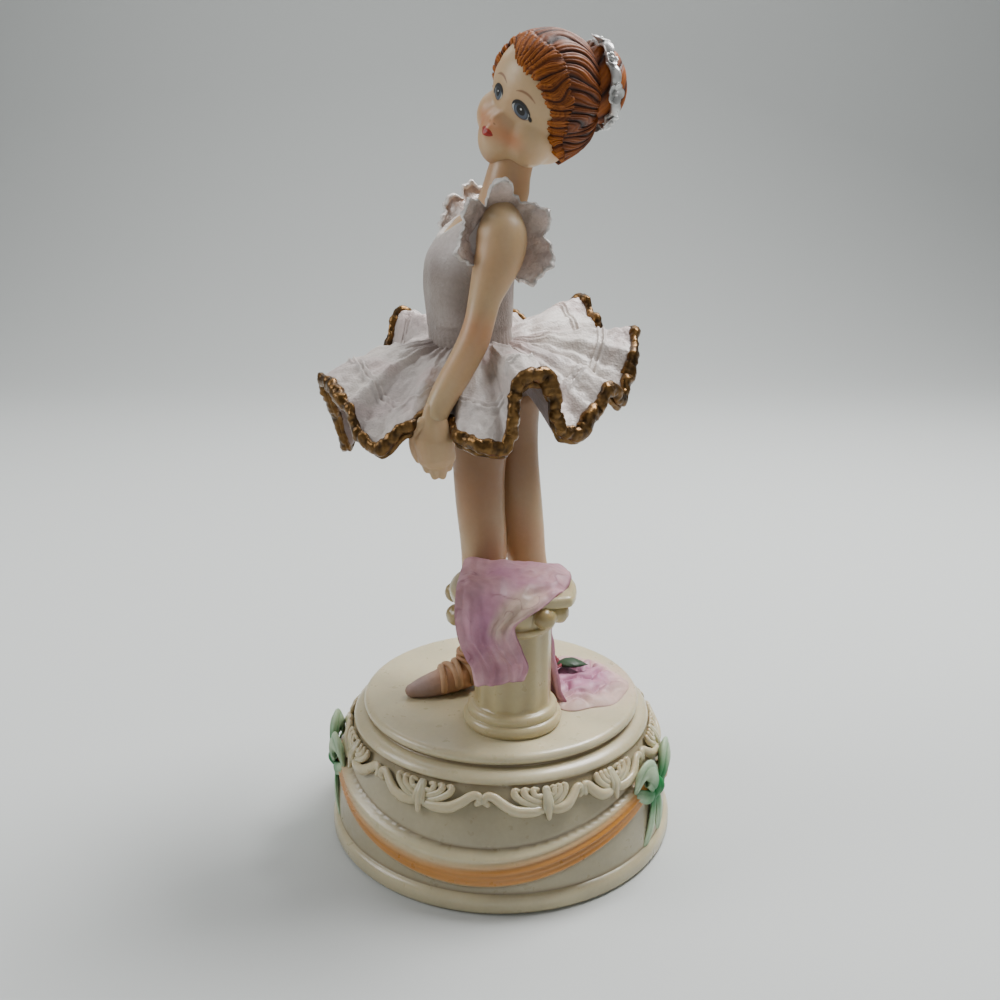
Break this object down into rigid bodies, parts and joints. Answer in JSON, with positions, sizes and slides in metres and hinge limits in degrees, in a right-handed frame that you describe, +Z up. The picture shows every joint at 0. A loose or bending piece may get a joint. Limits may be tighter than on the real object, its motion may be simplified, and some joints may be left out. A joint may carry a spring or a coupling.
{
  "type": "ballerina figurine",
  "caption": "Resin dancer in a white tutu beside a short column with a lilac cloth, on a round drum base carved with swags and scrolls.",
  "frame": {"origin": "middle of the round underside that the base stands on", "axes": "+Z up through the base, -Y towards the side with the column, so the dancer looks towards -X"},
  "size_m": [0.0801, 0.0804, 0.1735],
  "materials": {
    "painted_resin": "satin"
  },
  "bodies": {
    "root": {"figurine": "painted_resin"}
  },
  "joints": []
}
